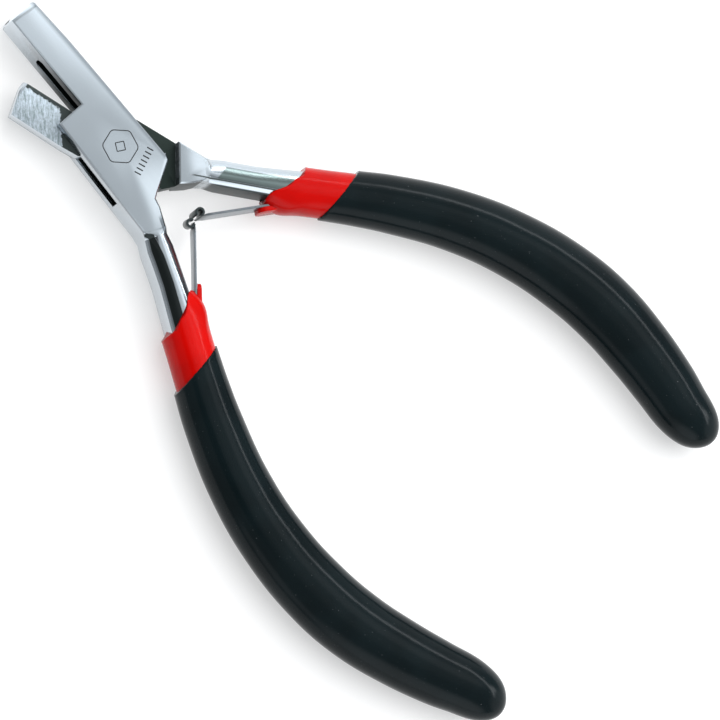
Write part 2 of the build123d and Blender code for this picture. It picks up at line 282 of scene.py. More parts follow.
class Finish:
    """The node tree of one material, or of the surround."""

    def __init__(self, name, kind="materials"):
        self.material = getattr(bpy.data, kind).new(name)
        self.material.use_nodes = True
        self.tree = self.material.node_tree
        self.tree.nodes.clear()

    def node(self, kind, settings=None, values=None, output=0):
        """Any node, from its type, its settings and what its sockets hold."""
        made = self.tree.nodes.new(kind)
        for name, value in (settings or {}).items():
            setattr(made, name, value)
        for key, value in (values or {}).items():
            if isinstance(value, Wire):
                self.tree.links.new(value.socket, made.inputs[key])
            else:
                made.inputs[key].default_value = value
        return Wire(self, made.outputs[output]) if len(made.outputs) else None

    def place(self, scale=(1, 1, 1), turn=0.0):
        """The piece's own coordinates in millimetres, turned about Z and then scaled."""
        own = self.node("ShaderNodeTexCoord", output="Object")
        turned = self.node(
            "ShaderNodeMapping", values={"Vector": own, "Rotation": (0, 0, turn), "Scale": (1 / MM,) * 3}
        )
        return self.node("ShaderNodeMapping", values={"Vector": turned, "Scale": scale})

    def axes(self):
        """X, Y and Z in millimetres."""
        split = self.node("ShaderNodeSeparateXYZ", values={0: self.place()})
        outputs = split.socket.node.outputs
        return tuple(Wire(self, outputs[index]) for index in range(3))

    def noise(self, place, scale, detail, roughness):
        values = {"Vector": place, "Scale": scale, "Detail": detail, "Roughness": roughness}
        return self.node("ShaderNodeTexNoise", {"normalize": True}, values)

    def mix(self, share, first, second):
        """A colour between two colours."""
        values = {0: share, 6: first, 7: second}
        return self.node("ShaderNodeMix", {"data_type": "RGBA"}, values, output=2)

    def bump(self, height, depth):
        """The surface raised by height times depth, in millimetres."""
        values = {"Height": height, "Distance": depth * MM, "Strength": 1.0}
        return self.node("ShaderNodeBump", values=values)

    def surface(self, **values):
        """The shader, which ends the material."""
        named = {name.replace("_", " "): value for name, value in values.items()}
        shader = self.node("ShaderNodeBsdfPrincipled", values=named)
        self.node("ShaderNodeOutputMaterial", values={"Surface": shader})
        return self.material


def rgba(colour, gain=1.0):
    return (*(channel * gain for channel in colour), 1.0)


# ---------------------------------------------------------------- finishes


def steel_base(finish, settings, turn):
    """Colour, roughness and height of satin polished steel, with its polishing lines at an angle."""
    lines = finish.noise(finish.place((0.2, 7.0, 7.0), turn), 1.0, 3.0, 0.55)
    hairlines = finish.noise(finish.place((0.08, 24.0, 24.0), turn), 1.0, 2.0, 0.6)
    clouds = finish.noise(finish.place(), 0.11, 3.0, 0.5)
    colour = finish.mix(clouds.rise(0.25, 0.75), rgba(settings.polish, 0.97), rgba(settings.polish, 1.03))
    roughness = 0.16 + 0.07 * lines + 0.03 * clouds
    height = 0.0006 * lines + 0.0003 * hairlines
    return colour, roughness, height


def from_line(line, x, y):
    """Distance from a line through two points, to the right of the way from the first to the second."""
    (ax, ay), (bx, by) = line
    length = hypot(bx - ax, by - ay)
    return (y - ay) * ((ax - bx) / length) - (x - ax) * ((ay - by) / length)


def outer_steel(settings):
    """The slotted half: satin steel, with painted shade in the slot and along its edges, a painted highlight
    towards the jaw's tip, and a jaw face darker towards its root, partly tarnish and partly painted shade.
    """
    finish = Finish("satin_steel_outer")
    x, y, z = finish.axes()
    colour, roughness, height = steel_base(finish, settings, radians(10))
    face = JAW_FACE_OFFSET - JAW_FACE_SLOPE * x
    back = JAW_BACK_OFFSET - JAW_BACK_SLOPE * x
    side = BOX_SIDE_OFFSET - BOX_SIDE_SLOPE * x
    from_mid = abs(z - MID)
    # Painted shade inside the slot between the plates.
    painted_slot_shade = from_mid.fall(WEB_HALF + 0.12, WEB_HALF + 0.2) * x.rise(-9, -8.5)
    under_face = (y - face - 9 * x.fall(BOX_FRONT_X - 0.3, BOX_FRONT_X)).fall(-0.2, -0.1)
    under_side = (y - side).fall(-0.35, -0.25)
    painted_slot_shade = painted_slot_shade * under_face * under_side * (y - back).rise(0.4, 0.5)
    on_face = abs(y - face).fall(0.06, 0.1) * x.rise(BOX_FRONT_X - 0.1, BOX_FRONT_X)
    patches = finish.noise(finish.place(), 0.5, 3.0, 0.6)
    # The jaw face darkens towards its root, partly as tarnish and partly as painted shade.
    tarnish_and_painted_shade = on_face * (x + 3 * patches).fall(13, 27)
    dark = painted_slot_shade.at_least(0.97 * tarnish_and_painted_shade)
    # The jaw's colour has a painted highlight that grows towards its tip, and painted shade where its back
    # and the box's side roll over.
    bright = finish.mix(x.rise(2, 26), colour, rgba(settings.polish, 1.42))
    rolled = 0.65 * (y - back).fall(-0.1, 0.9) * x.rise(-7.5, -7)
    # A thin line of painted shade just under the top edge of the box's side.
    rim_painted_shade = (y - side).rise(-0.1, -0.05) * abs(z - TOP + 0.55).fall(0.2, 0.45)
    # Painted shade on the jaw face and on the bevel beside the hand.
    beside_hand = from_line(SHANK_AXIS, x, y).fall(-1.3, -1.15) * x.fall(-12.5, -11.5)
    shade = rolled.at_least(0.5 * rim_painted_shade).at_least(0.3 * on_face).at_least(0.75 * beside_hand)
    # The upper bevel of the shank carries a painted reflection of a dark surround from its very start.
    under_top = z - TOP
    bevel = from_line(BEVEL_LINE, x, y).rise(0, 0.15) * under_top.rise(-0.72, -0.62) * x.fall(-11.9, -11.6)
    dark = dark.at_least(0.95 * bevel * under_top.fall(-0.06, -0.02))
    steel = finish.mix(shade, bright, rgba((0.10, 0.12, 0.14)))
    return finish.surface(
        Base_Color=finish.mix(dark, steel, rgba(settings.oxide_and_painted_shade, 0.6)),
        Metallic=1 - 0.1 * dark,
        Roughness=roughness + 0.25 * dark,
        Normal=finish.bump(height, 1.0),
    )


def inner_steel(settings):
    """The half with the blade: coarse-ground blade, a neck darkened partly as dull scale and partly as
    painted shade under the box, and a satin shank with painted shade beside the hand.
    """
    finish = Finish("satin_steel_inner")
    x, y, z = finish.axes()
    colour, roughness, height = steel_base(finish, settings, radians(-34))
    from_mid = abs(z - MID)
    # The neck and the web lie in front of the step line, behind the box; they are darkened partly as dull
    # scale and partly as painted shade under the box's plate.
    across = from_line(STEP_LINE, x, y)
    blotches = finish.noise(finish.place(), 0.9, 4.0, 0.6)
    neck = (across + 0.4 * blotches).rise(-0.1, 0.35) * x.fall(2.4, 2.9)
    # The blade's flats are ground across, and are darker in a crumbled band along its edge.
    edge = y - (BLADE_EDGE_SLOPE * x - BLADE_EDGE_OFFSET)
    crumbs = finish.noise(finish.place(), 2.2, 4.0, 0.7)
    flat = abs(from_mid - WEB_HALF).fall(0.05, 0.12) * (1 - neck)
    root = (x + 0.93 * y + 1.2 * crumbs).rise(12.7, 12.9)
    ground = flat * (edge + 1.1 * crumbs).rise(1.08, 1.2) * root
    streaks = finish.noise(finish.place((0.5, 3.2, 1.0), radians(49)), 1.0, 5.0, 0.65)
    chips = finish.noise(finish.place((1.2, 2.6, 1.0), radians(49)), 1.3, 3.0, 0.7)
    coarse = 0.8 * streaks + 0.5 * chips + 0.3 * crumbs
    band = flat * (1 - ground)
    dark = neck.at_least(0.95 * band)
    # Beside the hand the shank's side and the lines along its bevel carry painted shade, and the middle of
    # the shank is coloured darker and greener.
    out = from_line(SHANK_AXIS, x, 0 - y)
    shank_side = out.fall(-2.0, -1.85) * (z - TOP).fall(-0.5, -0.3) * x.fall(-10, -9.5)
    stripe = abs(out + 1.25).fall(0.08, 0.16) * x.fall(-12, -11)
    dark = dark.at_least(0.93 * shank_side).at_least(0.9 * stripe)
    dull = out.rise(-1.15, -1.05) * out.fall(1.0, 1.15) * x.fall(-15.2, -14.9)
    colour = finish.mix(0.85 * dull, colour, rgba((0.15, 0.20, 0.185)))
    scratched = finish.mix(coarse.rise(0.55, 1.0), rgba((0.22, 0.28, 0.29)), rgba((0.66, 0.74, 0.82)))
    clean = finish.mix(ground, colour, scratched)
    return finish.surface(
        Base_Color=finish.mix(dark, clean, rgba(settings.oxide_and_painted_shade, 1.2)),
        Metallic=1 - 0.55 * dark - 0.35 * ground,
        Roughness=roughness + 0.25 * dark + 0.22 * ground,
        Normal=finish.bump(height + 0.09 * coarse * ground + 0.02 * blotches * dark, 1.0),
    )


def spring_steel(settings):
    """Blue-grey strip with fine rolling lines and a few dark specks, darker towards its curled tip."""
    finish = Finish("rolled_spring_steel")
    x, _, _ = finish.axes()
    lines = finish.noise(finish.place((2, 2, 30)), 1.0, 3.0, 0.6)
    specks = finish.noise(finish.place(), 4.0, 2.0, 0.6).rise(0.66, 0.74)
    tone = finish.mix(lines, rgba(settings.polish, 0.38), rgba(settings.polish, 0.6))
    curled = 0.8 * x.rise(-18.5, -17)
    return finish.surface(
        Base_Color=finish.mix(curled.at_least(specks * 0.6), tone, rgba(settings.oxide_and_painted_shade)),
        Metallic=1.0,
        Roughness=0.26 + 0.14 * lines + 0.2 * specks,
        Normal=finish.bump(lines, 0.0015),
    )


def rivet_steel(settings):
    """Bright turned rivet steel with faint rings."""
    finish = Finish("turned_rivet_steel")
    lines = finish.noise(finish.place((8, 8, 8)), 1.0, 3.0, 0.6)
    return finish.surface(
        Base_Color=finish.mix(lines, rgba(settings.polish, 0.85), rgba(settings.polish, 1.05)),
        Metallic=1.0,
        Roughness=0.22 + 0.12 * lines,
        Normal=finish.bump(lines, 0.001),
    )


def etched_line():
    """Dull black of an etched line, a little uneven."""
    finish = Finish("etched_black")
    grain = finish.noise(finish.place(), 7.0, 3.0, 0.6)
    return finish.surface(
        Base_Color=finish.mix(grain, rgba((0.006, 0.008, 0.008)), rgba((0.03, 0.034, 0.036))),
        Roughness=0.5 + 0.2 * grain,
        Normal=finish.bump(grain, 0.004),
    )


def dip_coat(name, colour, tint, gloss, waves, specks):
    """Glossy dipped plastic: slow waves left by the liquid, a faint skin texture and a little dust."""
    finish = Finish(name)
    slow = finish.noise(finish.place(), 0.16, 2.0, 0.4)
    skin = finish.noise(finish.place(), 1.5, 3.0, 0.55)
    dust = finish.noise(finish.place(), 3.1, 3.0, 0.6).rise(0.70, 0.76)
    scuffs = finish.noise(finish.place((0.25, 3.0, 3.0), radians(-20)), 1.0, 4.0, 0.6).rise(0.6, 0.8)
    body = finish.mix(slow.rise(0.35, 0.65), rgba(colour), rgba(colour, tint))
    return finish.surface(
        Base_Color=finish.mix(dust * specks, body, rgba((0.25, 0.26, 0.27))),
        Roughness=gloss + 0.05 * skin + 0.06 * scuffs + 0.2 * specks * dust,
        Normal=finish.bump(slow * waves + skin * 0.06 + dust * 0.05, 0.12),
        IOR=1.22,
    )


def floor_finish(colour):
    """Plain matt paper that glows a little, so that it stays pale."""
    finish = Finish("pale_paper")
    grain = finish.noise(finish.place(), 0.3, 2.0, 0.5)
    return finish.surface(
        Base_Color=finish.mix(grain, rgba(colour, 0.98), rgba(colour)),
        Roughness=0.9 + 0.05 * grain,
        Emission_Color=(1, 1, 1, 1),
        Emission_Strength=0.5,
    )


# ---------------------------------------------------------------- modelling helpers


def activate(piece):
    """This piece alone is selected."""
    if bpy.context.object is not None and bpy.context.object.mode != "OBJECT":
        bpy.ops.object.mode_set(mode="OBJECT")
    bpy.ops.object.select_all(action="DESELECT")
    piece.select_set(True)
    bpy.context.view_layer.objects.active = piece


def deselect():
    bpy.ops.object.select_all(action="DESELECT")


def edit(piece):
    activate(piece)
    bpy.ops.object.mode_set(mode="EDIT")


def leave():
    bpy.ops.object.mode_set(mode="OBJECT")


def pick(piece, kind, test):
    """In edit mode, selects the verts, edges or faces that pass the test."""
    modes = {"verts": "VERT", "edges": "EDGE", "faces": "FACE"}
    bpy.ops.mesh.select_mode(type=modes[kind])
    bpy.ops.mesh.select_all(action="DESELECT")
    mesh = bmesh.from_edit_mesh(piece.data)
    for item in getattr(mesh, kind):
        if test(item):
            item.select_set(True)
    mesh.select_flush_mode()
    bmesh.update_edit_mesh(piece.data)


def apply_modifier(piece, kind, **settings):
    """One modifier with its settings, applied."""
    activate(piece)
    modifier = piece.modifiers.new(kind.lower(), kind)
    for name, value in settings.items():
        setattr(modifier, name, value)
    bpy.ops.object.modifier_apply(modifier=modifier.name)


def settle(piece, name):
    """The place, turn and scale go into the mesh, and the piece gets its name."""
    activate(piece)
    bpy.ops.object.transform_apply(location=True, rotation=True, scale=True)
    piece.name = name
    piece.data.name = name


def finish_piece(piece, material, slot):
    piece.data.materials.clear()
    piece.data.materials.append(material)


def outward(piece):
    """All normals point out of a closed shape."""
    edit(piece)
    bpy.ops.mesh.select_all(action="SELECT")
    bpy.ops.mesh.remove_doubles(threshold=0.001 * MM)
    bpy.ops.mesh.normals_make_consistent(inside=False)
    leave()


def smooth(piece, degrees):
    activate(piece)
    bpy.ops.object.shade_smooth_by_angle(angle=radians(degrees))


def to_side(piece, side):
    """A piece that was made at +Y goes to its own side of the tool."""
    if side > 0:
        return
    edit(piece)
    bpy.ops.mesh.select_all(action="SELECT")
    bpy.ops.transform.resize(value=(1, -1, 1), center_override=(0, 0, 0))
    leave()


def merged_copy(node, name):
    """A CAD node's shape as a new piece, its loose triangles merged into whole faces."""
    piece = bpy.data.objects.new(name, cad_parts[node].data.copy())
    piece.data.name = name
    bpy.context.scene.collection.objects.link(piece)
    edit(piece)
    bpy.ops.mesh.select_all(action="SELECT")
    bpy.ops.mesh.remove_doubles(threshold=0.002 * MM)
    bpy.ops.mesh.dissolve_limited(angle_limit=radians(0.4))
    leave()
    activate(piece)
    if piece.data.has_custom_normals:
        bpy.ops.mesh.customdata_custom_splitnormals_clear()
    return piece


# ---------------------------------------------------------------- the handle's line

# X, distance from the centre line, width and height of the second coat, in millimetres.
GRIP_STATIONS = (
    (-25.0, 13.9, 8.1, 8.6),
    (-30.0, 17.2, 8.7, 8.9),
    (-35.0, 20.6, 9.2, 9.2),
    (-40.0, 23.7, 9.8, 9.6),
    (-50.0, 28.8, 10.5, 10.0),
    (-60.0, 32.1, 11.2, 10.3),
    (-70.0, 33.7, 11.85, 10.4),
    (-78.0, 33.75, 11.95, 10.4),
    (-86.0, 32.6, 11.5, 10.3),
    (-93.0, 31.0, 10.9, 10.0),
    (-98.5, 29.5, 10.1, 9.4),
)
GRIP_END = 105.6
LIP_ANGLES = (0, 30, 55, 75, 90)
END_LEAN = 0.7  # how far the handle's very end lies nearer the tool's centre line
DOME_ANGLES = (30, 52, 70, 83)
SLEEVE_WIDTH = 8.1
SLEEVE_HEIGHT = 8.7
SLEEVE_FRONT = (-20.6, 10.9)
SLEEVE_FRONT_SHARE = 0.88
SLEEVE_END_SETBACK = 2.6
SECTION_SIDES = 20

# Where the sleeve's line crosses its dip line, and the runs across it: place, width and distance.
RIPPLE_X = -25.3
RIPPLE_Y = 14.1
RIPPLE_SLOPE = 0.66
RIPPLE_SPAN = 4.6
RIPPLE_REACH = 3.5  # along the handle, so that the rest of the sleeve stays put
RIPPLES = ((-0.75, 0.55, 1.9), (0.22, 0.14, 0.2), (0.62, 0.2, -0.35))


def handle_curve(stations):
    """The centre line of a handle as a smooth curve, for the +Y side."""
    deselect()
    bpy.ops.curve.primitive_bezier_curve_add()
    line = bpy.context.object
    spline = line.data.splines[0]
    spline.bezier_points.add(len(stations) - len(spline.bezier_points))
    for point, (x, y) in zip(spline.bezier_points, stations):
        point.co = (x * MM, y * MM, 0)
        point.handle_left_type = "AUTO"
        point.handle_right_type = "AUTO"
    line.location = (0, 0, 0)
    line.data.resolution_u = 24
    line.data.use_stretch = False
    return line


def run_lengths(points):
    """Distance from the first point to each point, along straight runs."""
    lengths = [0.0]
    for a, b in zip(points, points[1:]):
        lengths.append(lengths[-1] + hypot(b[0] - a[0], b[1] - a[1]))
    return lengths


def rounded_bar(name, stations):
    """A closed bar along +X. Each station is its X, width and height, in millimetres."""
    deselect()
    bpy.ops.mesh.primitive_circle_add(
        vertices=SECTION_SIDES, radius=MM / 2, fill_type="NGON", rotation=(0, pi / 2, 0)
    )
    bar = bpy.context.object
    settle(bar, name)
    first_x, width, height = stations[0]
    edit(bar)
    bpy.ops.mesh.select_all(action="SELECT")
    bpy.ops.transform.resize(value=(1, width, height))
    bpy.ops.transform.translate(value=(first_x * MM, 0, 0))
    bpy.ops.mesh.select_mode(type="FACE")
    bpy.ops.mesh.select_all(action="SELECT")
    for (x, w, h), (next_x, next_w, next_h) in zip(stations, stations[1:]):
        bpy.ops.mesh.extrude_region_move(TRANSFORM_OT_translate={"value": ((next_x - x) * MM, 0, 0)})
        bpy.ops.transform.resize(value=(1, next_w / w, next_h / h))
    leave()
    outward(bar)
    return bar


def bend_along(bar, line, side):
    """The straight bar laid along a handle's centre line, on its own side of the tool."""
    apply_modifier(bar, "CURVE", object=line, deform_axis="POS_X")
    to_side(bar, side)
    edit(bar)
    bpy.ops.mesh.select_all(action="SELECT")
    bpy.ops.transform.translate(value=(0, 0, MID_Z))
    leave()
    outward(bar)


def ripple(vert):
    """How far the liquid's edge ran back or crept on at a point across the handle, in metres."""
    along = vert.co.x / MM - RIPPLE_X
    across = (abs(vert.co.y) / MM - RIPPLE_Y + RIPPLE_SLOPE * along) / RIPPLE_SPAN
    near = exp(-((along / RIPPLE_REACH) ** 2))
    runs = sum(gain * MM * exp(-(((across - place) / width) ** 2)) for place, width, gain in RIPPLES)
    return near * runs


def shift_x(bar, distance):
    for vert in bar.data.vertices:
        vert.co.x += distance(vert)


def cut_at(bar, x, lip):
    """Cuts the bar square to the tool at x, keeps the hand's end, and rolls the cut's edge over."""
    edit(bar)
    bpy.ops.mesh.select_all(action="SELECT")
    bpy.ops.mesh.bisect(plane_co=(x, 0, 0), plane_no=(1, 0, 0), use_fill=True, clear_outer=True)
    leave()

    def on_cut(face):
        return face.normal.x > 0.95 and abs(face.calc_center_median().x - x) < NEAR * MM

    edit(bar)
    pick(bar, "faces", on_cut)
    for start, stop in zip(LIP_ANGLES, LIP_ANGLES[1:]):
        inward = lip * (cos(radians(start)) - cos(radians(stop)))
        forward = lip * (sin(radians(stop)) - sin(radians(start)))
        bpy.ops.mesh.inset(thickness=inward, depth=0)
        bpy.ops.transform.translate(value=(forward, 0, 0))
    leave()


def coat_bar(name, widths, side, end):
    """A dip coat's outer shape along the handle, with a domed end."""
    points = [(x, y) for x, y, _, _ in widths]
    points.append((-end, points[-1][1] - END_LEAN))
    lengths = run_lengths(points)
    bar_stations = [(s, w, h) for s, (_, _, w, h) in zip(lengths, widths)]
    last_s, last_w, last_h = bar_stations[-1]
    reach = lengths[-1] - last_s
    for angle in DOME_ANGLES:
        share = cos(radians(angle))
        bar_stations.append((last_s + reach * sin(radians(angle)), last_w * share, last_h * share))
    bar = rounded_bar(name, bar_stations)
    apply_modifier(bar, "SUBSURF", levels=3, render_levels=3)
    line = handle_curve(points)
    bend_along(bar, line, side)
    bpy.data.objects.remove(line)
    return bar


# ---------------------------------------------------------------- operators


def sharp_outside_bore(edge):
    """A sharp edge, apart from those of the bore that the pin fills."""
    if not edge.is_manifold or edge.calc_face_angle() < SHARP_ANGLE:
        return False
    return any(hypot(vert.co.x, vert.co.y) > BORE_REACH * MM for vert in edge.verts)


class PLIERS_OT_steel_halves(Operator):
    """Finish the two forged halves: whole faces, softly broken edges and their steel"""

    bl_idname = "pliers.steel_halves"
    bl_label = "Steel halves"

    def execute(self, context):
        settings = context.scene.pliers_steel
        finishes = {"outer": outer_steel(settings), "inner": inner_steel(settings)}
        for body, material in finishes.items():
            piece = merged_copy(f"{body}_half", f"finished_{body}_half")
            edit(piece)
            pick(piece, "edges", sharp_outside_bore)
            bpy.ops.mesh.bevel(offset=settings.bevel, segments=2, affect="EDGES", clamp_overlap=True)
            leave()
            smooth(piece, 24)
            finish_piece(piece, material, "polished_steel" if body == "outer" else "ground_steel")
            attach(piece, body)
            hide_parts(f"{body}_half")
        return {"FINISHED"}


class PLIERS_OT_small_steel(Operator):
    """Give the hidden joint pin the box's steel and the spring rivets their turned steel"""

    bl_idname = "pliers.small_steel"
    bl_label = "Pin and rivets"

    def execute(self, context):
        settings = context.scene.pliers_steel
        rivets = rivet_steel(settings)
        # The pin is ground and polished with the box that it is riveted into.
        finishes = {"joint_pin": bpy.data.materials["satin_steel_outer"]}
        finishes.update({f"spring_rivet_{body}": rivets for body in SIDES})
        for node, material in finishes.items():
            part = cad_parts[node]
            part.data.materials.clear()
            part.data.materials.append(material)
        return {"FINISHED"}


class PLIERS_OT_leaf_springs(Operator):
    """Roll the two return springs from flat strip"""

    bl_idname = "pliers.leaf_springs"
    bl_label = "Leaf springs"

    def execute(self, context):
        settings = context.scene.pliers_spring
        material = spring_steel(context.scene.pliers_steel)
        for body, side in SIDES.items():
            piece = leaf_spring(f"rolled_leaf_spring_{body}", settings, side)
            finish_piece(piece, material, "spring_steel")
            blend_spring(piece)
            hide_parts(f"leaf_spring_{body}")
        return {"FINISHED"}


LEAF_PATH = ((-33.5, 16.3), (-28.7, 13.25), (-25.3, 10.5))
LEAF_STEPS = 10
CURL_CENTRE = (-16.5, 1.02)
CURL_TURN = 310
CURL_STEPS = 24
TONGUE_LENGTH = 4.4
TONGUE_THICKNESS = 0.8
TONGUE_OVERLAP = 0.3  # how much wider than the leaf it is
TONGUE_ROUNDING = 1.3
TONGUE_EDGE = 0.12
TONGUE_SETBACK = 1.2
TONGUE_BITE = 0.05


def curl_start(settings):
    """Where the leaf meets its curl, on the circle of the strip's middle, with the circle on its left."""
    root = Vector(LEAF_PATH[-1])
    centre = Vector(CURL_CENTRE)
    radius = (settings.curl_radius - settings.thickness / 2) / MM
    reach = centre - root
    heading = atan2(reach.y, reach.x) - asin(radius / reach.length)
    return centre + radius * Vector((sin(heading), -cos(heading)))


def leaf_spring(name, settings, side):
    """A strip from its foot to its rolled tip, which stands close to the other spring's tip at rest."""
    deselect()
    bpy.ops.mesh.primitive_plane_add(size=settings.width, rotation=(0, pi / 2, 0))
    piece = bpy.context.object
    settle(piece, name)
    path = [*LEAF_PATH, curl_start(settings)]
    edit(piece)
    pick(piece, "verts", lambda vert: vert.co.y > 0)
    bpy.ops.mesh.delete(type="VERT")
    bpy.ops.mesh.select_all(action="SELECT")
    start = Vector((path[0][0] * MM, path[0][1] * MM, MID_Z))
    bpy.ops.transform.translate(value=start + Vector((0, settings.width / 2, 0)))
    bpy.ops.mesh.select_mode(type="EDGE")
    for (ax, ay), (bx, by) in zip(path, path[1:]):
        move = Vector(((bx - ax) * MM / LEAF_STEPS, (by - ay) * MM / LEAF_STEPS, 0))
        for _ in range(LEAF_STEPS):
            bpy.ops.mesh.extrude_region_move(TRANSFORM_OT_translate={"value": move})
    curl = Vector((CURL_CENTRE[0] * MM, CURL_CENTRE[1] * MM, MID_Z))
    bpy.ops.mesh.spin(steps=CURL_STEPS, angle=radians(CURL_TURN), center=curl, axis=(0, 0, 1))
    leave()
    apply_modifier(piece, "SOLIDIFY", thickness=settings.thickness, offset=0)
    apply_modifier(piece, "BEVEL", width=0.05 * MM, segments=2, limit_method="ANGLE", angle_limit=radians(50))
    lean(piece, settings.cant)
    to_side(piece, side)
    outward(piece)
    smooth(piece, 35)
    return piece


def lean(piece, cant):
    """Leans a +Y spring's top edge away from the hand's side, as the strip is canted."""
    for vert in piece.data.vertices:
        vert.co.y += tan(cant) * (vert.co.z - MID_Z)


def red_tongue(name, settings, side):
    """The coat's drip on the hand's side of a spring's root, a rounded tongue over the leaf."""
    deselect()
    bpy.ops.mesh.primitive_cube_add(size=MM)
    piece = bpy.context.object
    settle(piece, name)
    start = Vector((*LEAF_PATH[-1], MID))
    knee = curl_start(settings)
    heading = Vector((knee.x - start.x, knee.y - start.y, 0)).normalized()
    hand = Vector((heading.y, -heading.x, 0))
    edit(piece)
    bpy.ops.mesh.select_all(action="SELECT")
    width = settings.width / MM + TONGUE_OVERLAP
    bpy.ops.transform.resize(value=(TONGUE_LENGTH, TONGUE_THICKNESS, width))
    bpy.ops.transform.translate(value=(TONGUE_LENGTH / 2 * MM, 0, 0))
    pick(piece, "edges", lambda edge: edge_near(edge, TONGUE_LENGTH * MM) and along_y(edge))
    bpy.ops.mesh.bevel(offset=TONGUE_ROUNDING * MM, segments=8, affect="EDGES")
    bpy.ops.mesh.select_all(action="SELECT")
    bpy.ops.mesh.bevel(offset=TONGUE_EDGE * MM, segments=3, affect="EDGES", clamp_overlap=True)
    leave()
    # Its root lies inside the sleeve, and its face on the leaf's.
    offset = hand * (settings.thickness / MM / 2 + TONGUE_THICKNESS / 2 - TONGUE_BITE)
    origin = start - heading * TONGUE_SETBACK + offset
    turn = Matrix.Rotation(atan2(heading.y, heading.x), 4, "Z")
    piece.data.transform(Matrix.Translation(origin * MM) @ turn)
    lean(piece, settings.cant)
    to_side(piece, side)
    outward(piece)
    smooth(piece, 50)
    return piece


def edge_near(edge, x):
    return all(abs(vert.co.x - x) < NEAR * MM for vert in edge.verts)


def along_y(edge):
    first, second = edge.verts
    return abs(first.co.y - second.co.y) > 10 * abs(first.co.z - second.co.z)


def blend_spring(piece):
    """The piece's place and turn go into its mesh."""
    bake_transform(piece)


class PLIERS_OT_red_sleeves(Operator):
    """Dip the handles in the first, thin coat"""

    bl_idname = "pliers.red_sleeves"
    bl_label = "Red sleeves"

    def execute(self, context):
        settings = context.scene.pliers_dip
        material = dip_coat("red_dip", settings.red, 0.86, 0.16, 0.35, 0.0)
        stations = [(*SLEEVE_FRONT, SLEEVE_WIDTH * SLEEVE_FRONT_SHARE, SLEEVE_HEIGHT)]
        for x, y, _, _ in GRIP_STATIONS:
            stations.append((x, y, SLEEVE_WIDTH, SLEEVE_HEIGHT))
        for body, side in SIDES.items():
            piece = coat_bar(f"dipped_red_sleeve_{body}", stations, side, GRIP_END - SLEEVE_END_SETBACK)
            # The edge is cut straight in a rippled sleeve, and is rippled once the sleeve is put straight.
            back = [ripple(vert) for vert in piece.data.vertices]
            shift_x(piece, lambda vert: -back[vert.index])
            cut_at(piece, settings.red_line, settings.lip)
            shift_x(piece, ripple)
            smooth(piece, 50)
            finish_piece(piece, material, "red_dip")
            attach(piece, body)
            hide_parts(f"red_sleeve_{body}")
            tongue = red_tongue(f"red_tongue_{body}", context.scene.pliers_spring, side)
            finish_piece(tongue, material, "red_dip")
            blend_spring(tongue)
        return {"FINISHED"}


class PLIERS_OT_black_grips(Operator):
    """Dip the handles in the second, thick coat"""

    bl_idname = "pliers.black_grips"
    bl_label = "Black grips"

    def execute(self, context):
        settings = context.scene.pliers_dip
        material = dip_coat("black_dip", settings.black, 1.3, 0.14, 0.5, 0.35)
        for body, side in SIDES.items():
            piece = coat_bar(f"dipped_grip_{body}", GRIP_STATIONS, side, GRIP_END)
            cut_at(piece, settings.black_line, settings.lip)
            smooth(piece, 50)
            finish_piece(piece, material, "black_dip")
            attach(piece, body)
            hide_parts(f"grip_{body}")
        return {"FINISHED"}


class PLIERS_OT_etched_mark(Operator):
    """Etch a plain hexagon, a diamond and a row of ticks on the top of the box"""

    bl_idname = "pliers.etched_mark"
    bl_label = "Etched mark"

    def execute(self, context):
        settings = context.scene.pliers_mark
        parts = [etched_ring(6, settings.size, settings.line)]
        parts.append(etched_ring(4, settings.size * DIAMOND_SHARE, settings.line))
        for index in range(settings.ticks):
            along = (index - (settings.ticks - 1) / 2) * TICK_PITCH
            parts.append(etched_tick(along, settings))
        for part in parts:
            part.select_set(True)
        bpy.context.view_layer.objects.active = parts[0]
        bpy.ops.object.join()
        mark = bpy.context.object
        settle(mark, "etched_mark")
        finish_piece(mark, etched_line(), "ground_steel")
        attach(mark, "outer")
        return {"FINISHED"}


ETCH_DEPTH = 0.03
ETCH_PROUD = 0.006
ETCH_FLOOR = JOINT_TOP + (ETCH_PROUD - ETCH_DEPTH) * MM
MARK_CENTRE = (0.2, -0.2)
MARK_TURN = radians(8)
CORNER_SHARE = 0.16
DIAMOND_SHARE = 0.36
TICK_PITCH = 0.75
TICK_LENGTH = 1.15
TICK_WIDTH_SHARE = 1.3
TICK_ROW_X = -4.3
TICK_ROW_TURN = radians(12)


def etched_ring(corners, radius, line):
    """A flat outline with rounded corners, sunk into the steel and just proud of it."""
    deselect()
    location = (MARK_CENTRE[0] * MM, MARK_CENTRE[1] * MM, ETCH_FLOOR)
    bpy.ops.mesh.primitive_circle_add(
        vertices=corners, radius=radius, fill_type="NGON", location=location, rotation=(0, 0, MARK_TURN)
    )
    ring = bpy.context.object
    settle(ring, "ring")
    edit(ring)
    bpy.ops.mesh.select_all(action="SELECT")
    bpy.ops.mesh.bevel(offset=radius * CORNER_SHARE, segments=5, affect="VERTICES")
    bpy.ops.mesh.select_mode(type="FACE")
    bpy.ops.mesh.select_all(action="SELECT")
    bpy.ops.mesh.inset(thickness=line, depth=0)
    bpy.ops.mesh.delete(type="FACE")
    bpy.ops.mesh.select_all(action="SELECT")
    bpy.ops.mesh.extrude_region_move(TRANSFORM_OT_translate={"value": (0, 0, ETCH_DEPTH * MM)})
    leave()
    outward(ring)
    return ring


